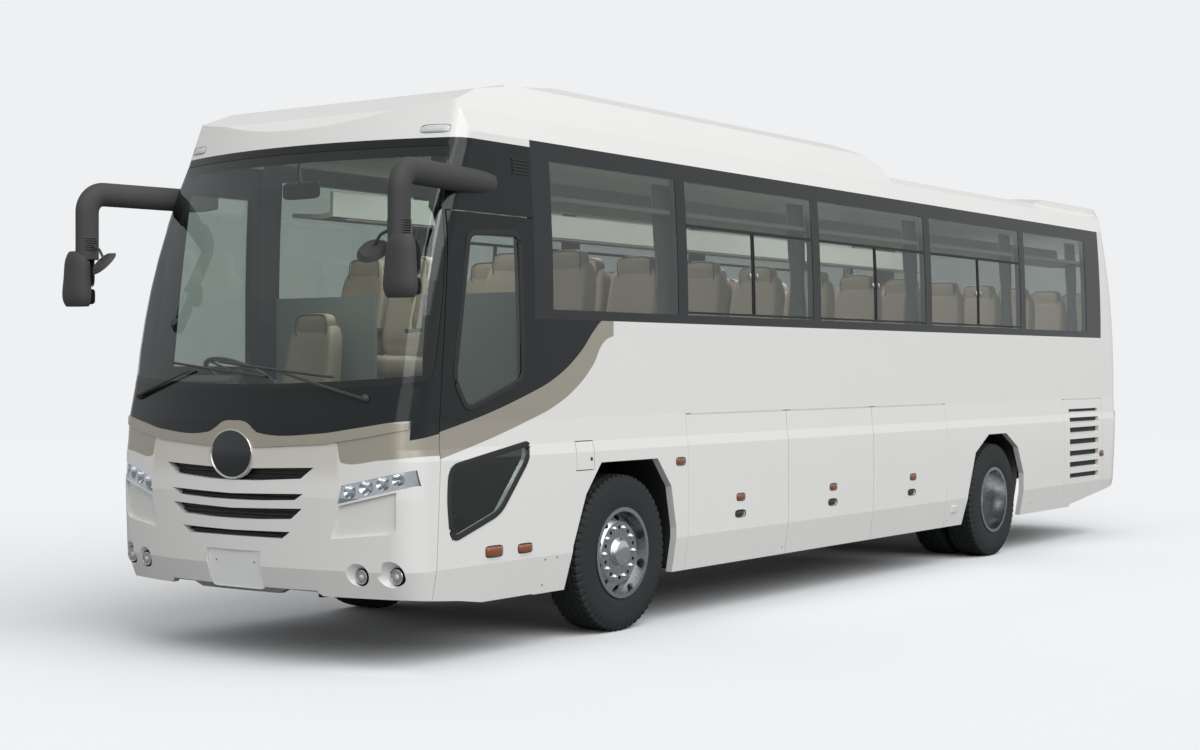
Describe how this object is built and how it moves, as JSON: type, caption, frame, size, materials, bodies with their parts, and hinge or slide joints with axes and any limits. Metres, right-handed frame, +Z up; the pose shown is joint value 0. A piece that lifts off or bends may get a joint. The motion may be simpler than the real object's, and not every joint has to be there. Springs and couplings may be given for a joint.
{
  "type": "touring coach bus",
  "caption": "High-deck touring coach with opening entrance, luggage, service, engine, fuel and emergency doors, steered front wheels and twin rear wheels.",
  "frame": {"origin": "on the ground under the middle of the overall box", "axes": "+X towards the front of the coach, +Y towards its left, the door side, +Z up"},
  "size_m": [12.0897, 2.9566, 3.688],
  "materials": {
    "black_plastic": "matt",
    "cast_grey": "rough",
    "chrome": "mirror",
    "floor_grey": "matt",
    "frame_steel": "satin",
    "gloss_black": "gloss",
    "lamp_glass": "clear",
    "pearl_white": "gloss",
    "red_lamp": "gloss",
    "seat_cloth": "woven",
    "step_metal": "brushed",
    "trim_beige": "matt",
    "tyre": "matt",
    "wheel_alloy": "polished",
    "window_glass": "tinted"
  },
  "bodies": {
    "coach_body": {"cab_frame": "pearl_white", "cabin_floor": "floor_grey", "chassis_frame": "frame_steel", "cross_members": "frame_steel", "luggage_bay": "floor_grey", "dashboard": "black_plastic", "driver_seat": "seat_cloth", "engine_block": "cast_grey", "entrance_steps": "step_metal", "front_axle": "cast_grey", "front_bumper": "pearl_white", "front_mask": "pearl_white", "grille": "black_plastic", "headlamps": "chrome", "headlamp_lenses": "lamp_glass", "mirrors": "gloss_black", "parcel_racks": "trim_beige", "partitions": "trim_beige", "passenger_seats": "seat_cloth", "rear_axle": "cast_grey", "rear_bumper": "pearl_white", "rear_glass": "window_glass", "rear_panel": "pearl_white", "roof_cowl": "pearl_white", "roof_front": "pearl_white", "roof_panel": "pearl_white", "side_glass": "window_glass", "side_panels": "pearl_white", "skirts_front": "pearl_white", "skirts_rear": "pearl_white", "steering_wheel": "black_plastic", "tail_lamps": "red_lamp", "window_frames": "gloss_black", "windscreen": "window_glass"},
    "knuckle_left": {"knuckle_left": "cast_grey"},
    "wheel_front_left": {"rim_front_left": "wheel_alloy", "tyre_front_left": "tyre"},
    "wheel_rear_left": {"rim_rear_left": "chrome", "tyre_rear_left": "tyre"},
    "knuckle_right": {"knuckle_right": "cast_grey"},
    "wheel_front_right": {"rim_front_right": "wheel_alloy", "tyre_front_right": "tyre"},
    "wheel_rear_right": {"rim_rear_right": "chrome", "tyre_rear_right": "tyre"},
    "tie_rod": {"tie_rod": "frame_steel"},
    "door_arms": {"door_arms": "black_plastic"},
    "entrance_door": {"entrance_door": "pearl_white", "entrance_door_glass": "window_glass"},
    "luggage_door_front_left": {"luggage_door_front_left": "pearl_white"},
    "luggage_door_middle_left": {"luggage_door_middle_left": "pearl_white"},
    "luggage_door_rear_left": {"luggage_door_rear_left": "pearl_white"},
    "service_door_left": {"service_door_left": "pearl_white"},
    "luggage_door_front_right": {"luggage_door_front_right": "pearl_white"},
    "luggage_door_middle_right": {"luggage_door_middle_right": "pearl_white"},
    "luggage_door_rear_right": {"luggage_door_rear_right": "pearl_white"},
    "service_door_right": {"service_door_right": "pearl_white"},
    "engine_hatch": {"engine_hatch": "pearl_white"},
    "emergency_door": {"emergency_door": "pearl_white", "emergency_glass": "window_glass"},
    "filler_flap": {"filler_flap": "pearl_white"}
  },
  "joints": [
    {"name": "steer_left", "type": "hinge", "parent": "coach_body", "child": "knuckle_left", "pos_m": [3.545, 0.86, 0.522], "axis": [0, 0, 1], "range_deg": [-38, 38]},
    {"name": "wheel_front_left_spin", "type": "hinge", "parent": "knuckle_left", "child": "wheel_front_left", "pos_m": [3.545, 1.045, 0.522], "axis": [0, 1, 0], "continuous": true},
    {"name": "wheel_rear_left_spin", "type": "hinge", "parent": "coach_body", "child": "wheel_rear_left", "pos_m": [-2.535, 1.045, 0.522], "axis": [0, 1, 0], "continuous": true},
    {"name": "steer_right", "type": "hinge", "parent": "coach_body", "child": "knuckle_right", "pos_m": [3.545, -0.86, 0.522], "axis": [0, 0, 1], "range_deg": [-38, 38]},
    {"name": "wheel_front_right_spin", "type": "hinge", "parent": "knuckle_right", "child": "wheel_front_right", "pos_m": [3.545, -1.045, 0.522], "axis": [0, 1, 0], "continuous": true},
    {"name": "wheel_rear_right_spin", "type": "hinge", "parent": "coach_body", "child": "wheel_rear_right", "pos_m": [-2.535, -1.045, 0.522], "axis": [0, 1, 0], "continuous": true},
    {"name": "tie_rod_turn", "type": "hinge", "parent": "knuckle_left", "child": "tie_rod", "pos_m": [3.365, 0.86, 0.402], "axis": [0, 0, 1], "range_deg": [-38, 38]},
    {"name": "door_arm_swing", "type": "hinge", "parent": "coach_body", "child": "door_arms", "pos_m": [5.245, 1.09, 1.5], "axis": [0, 0, -1], "range_deg": [0, 110]},
    {"name": "entrance_door_turn", "type": "hinge", "parent": "door_arms", "child": "entrance_door", "pos_m": [4.645, 1.09, 1.5], "axis": [0, 0, -1], "range_deg": [-110, 0]},
    {"name": "luggage_door_front_left_lift", "type": "hinge", "parent": "coach_body", "child": "luggage_door_front_left", "pos_m": [2.131, 1.225, 1.4285], "axis": [1, 0, 0], "range_deg": [0, 85]},
    {"name": "luggage_door_middle_left_lift", "type": "hinge", "parent": "coach_body", "child": "luggage_door_middle_left", "pos_m": [0.725, 1.225, 1.4285], "axis": [1, 0, 0], "range_deg": [0, 85]},
    {"name": "luggage_door_rear_left_lift", "type": "hinge", "parent": "coach_body", "child": "luggage_door_rear_left", "pos_m": [-0.681, 1.225, 1.4285], "axis": [1, 0, 0], "range_deg": [0, 85]},
    {"name": "service_door_left_lift", "type": "hinge", "parent": "coach_body", "child": "service_door_left", "pos_m": [-4.663, 1.225, 1.4285], "axis": [1, 0, 0], "range_deg": [0, 85]},
    {"name": "luggage_door_front_right_lift", "type": "hinge", "parent": "coach_body", "child": "luggage_door_front_right", "pos_m": [2.131, -1.225, 1.4285], "axis": [-1, 0, 0], "range_deg": [0, 85]},
    {"name": "luggage_door_middle_right_lift", "type": "hinge", "parent": "coach_body", "child": "luggage_door_middle_right", "pos_m": [0.725, -1.225, 1.4285], "axis": [-1, 0, 0], "range_deg": [0, 85]},
    {"name": "luggage_door_rear_right_lift", "type": "hinge", "parent": "coach_body", "child": "luggage_door_rear_right", "pos_m": [-0.681, -1.225, 1.4285], "axis": [-1, 0, 0], "range_deg": [0, 85]},
    {"name": "service_door_right_lift", "type": "hinge", "parent": "coach_body", "child": "service_door_right", "pos_m": [-4.663, -1.225, 1.4285], "axis": [-1, 0, 0], "range_deg": [0, 85]},
    {"name": "engine_hatch_lift", "type": "hinge", "parent": "coach_body", "child": "engine_hatch", "pos_m": [-6.042, 0, 1.5555], "axis": [0, 1, 0], "range_deg": [0, 80]},
    {"name": "emergency_door_swing", "type": "hinge", "parent": "coach_body", "child": "emergency_door", "pos_m": [-3.1765, -1.225, 1.75], "axis": [0, 0, 1], "range_deg": [0, 100]},
    {"name": "filler_flap_swing", "type": "hinge", "parent": "coach_body", "child": "filler_flap", "pos_m": [4.1485, 1.245, 1.15], "axis": [0, 0, -1], "range_deg": [0, 120]}
  ],
  "couplings": [
    {"joint": "steer_right", "follows": "steer_left", "ratio": 1},
    {"joint": "tie_rod_turn", "follows": "steer_left", "ratio": -1},
    {"joint": "entrance_door_turn", "follows": "door_arm_swing", "ratio": -1}
  ]
}
